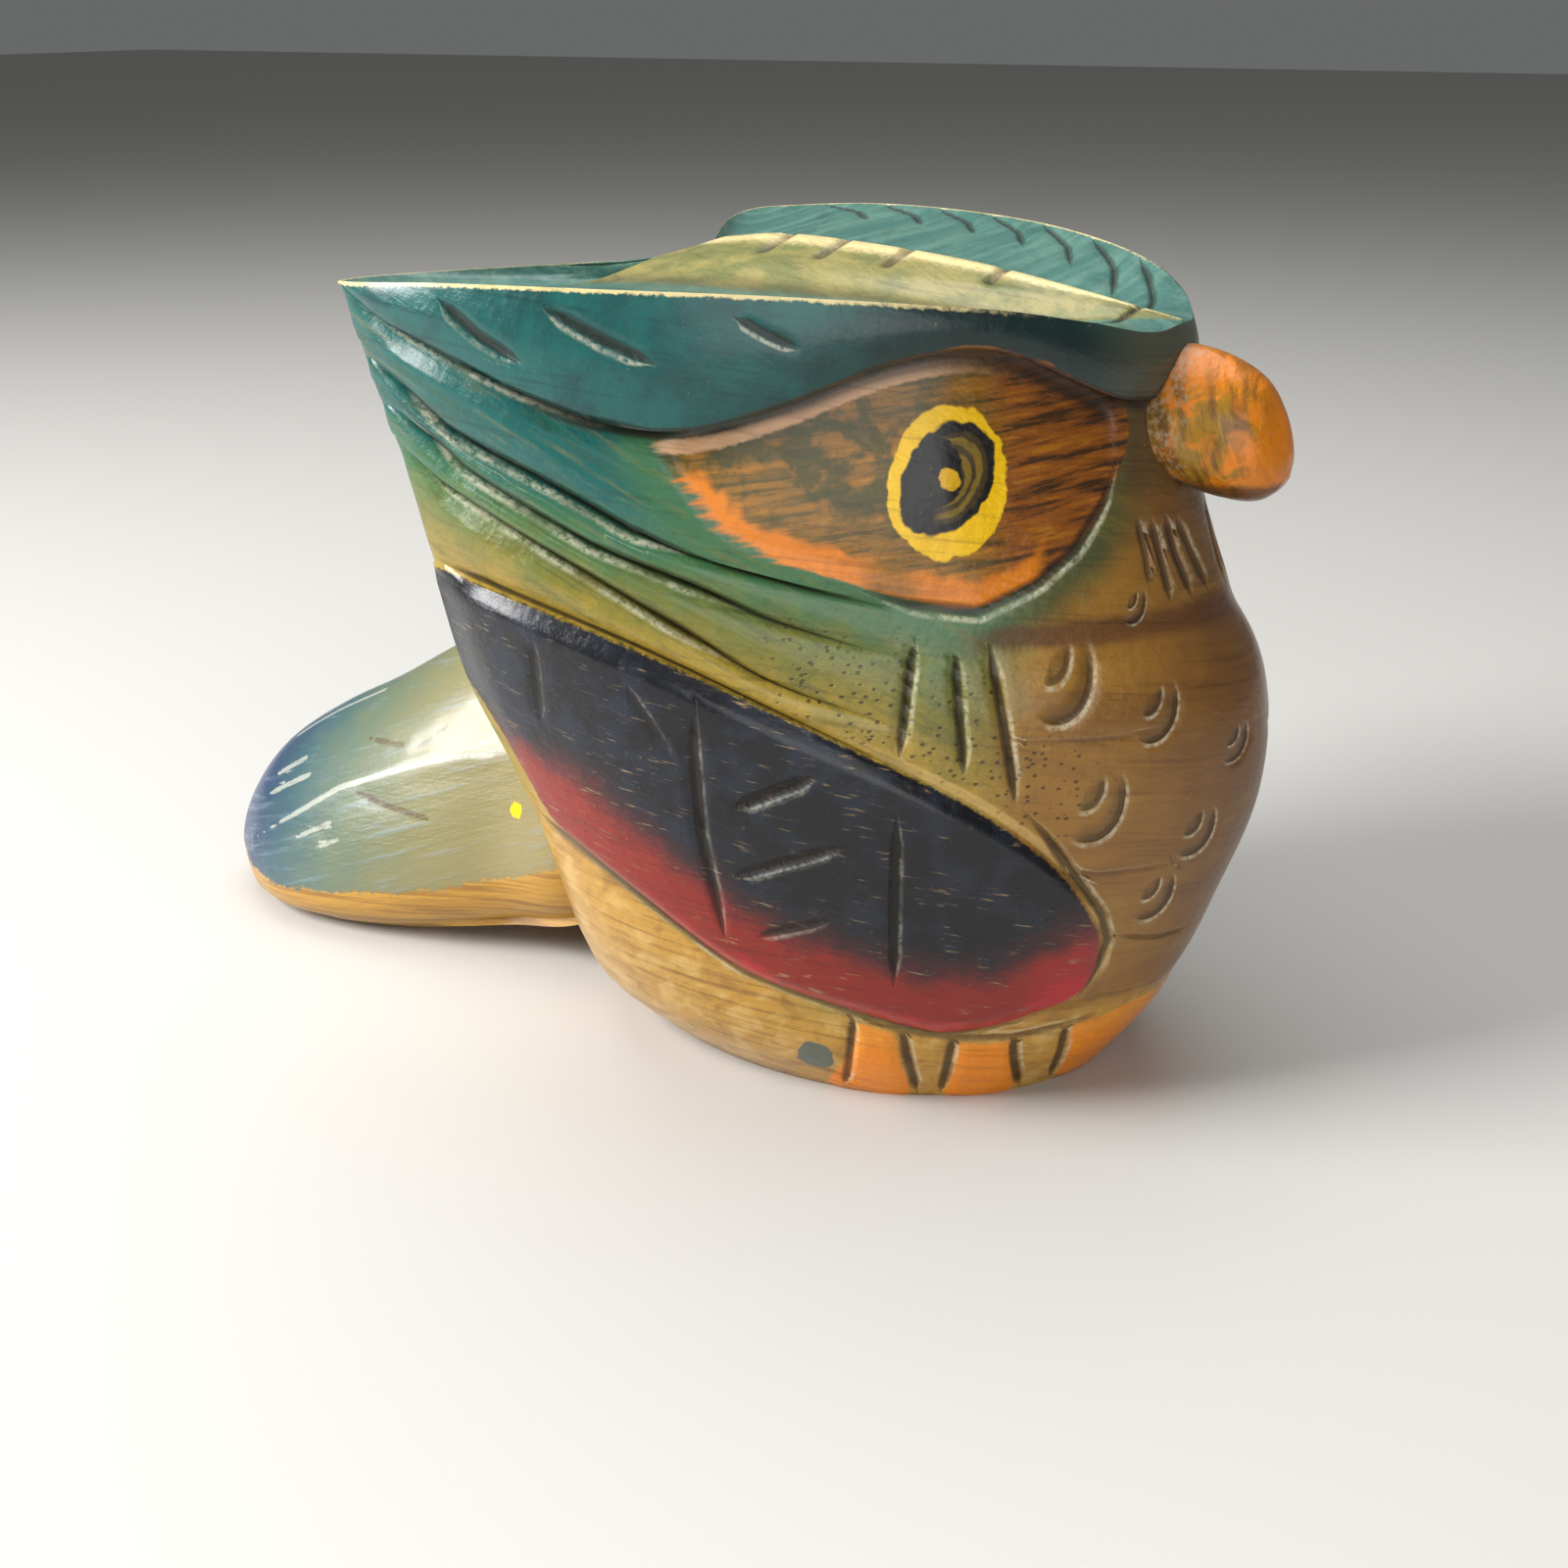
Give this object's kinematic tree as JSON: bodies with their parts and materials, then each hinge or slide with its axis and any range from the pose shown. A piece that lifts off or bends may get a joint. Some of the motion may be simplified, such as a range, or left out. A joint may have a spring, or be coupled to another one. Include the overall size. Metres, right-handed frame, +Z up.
{
  "type": "carved wooden owl figurine",
  "caption": "Squat hand-carved owl in one block of wood with pointed ear tufts, folded wings, a hooked beak and a paddle tail, painted and varnished.",
  "frame": {"origin": "on the flat underside of the body, on the owl's centre line, below the head", "axes": "+Z up, -Y ahead of the owl (beak), +Y towards the tail tip, -X the owl's right side, +X its left side"},
  "size_m": [0.0896, 0.135, 0.087],
  "materials": {
    "painted_wood": "translucent paint under worn semi-gloss varnish"
  },
  "bodies": {
    "root": {"owl": "painted_wood"}
  },
  "joints": []
}
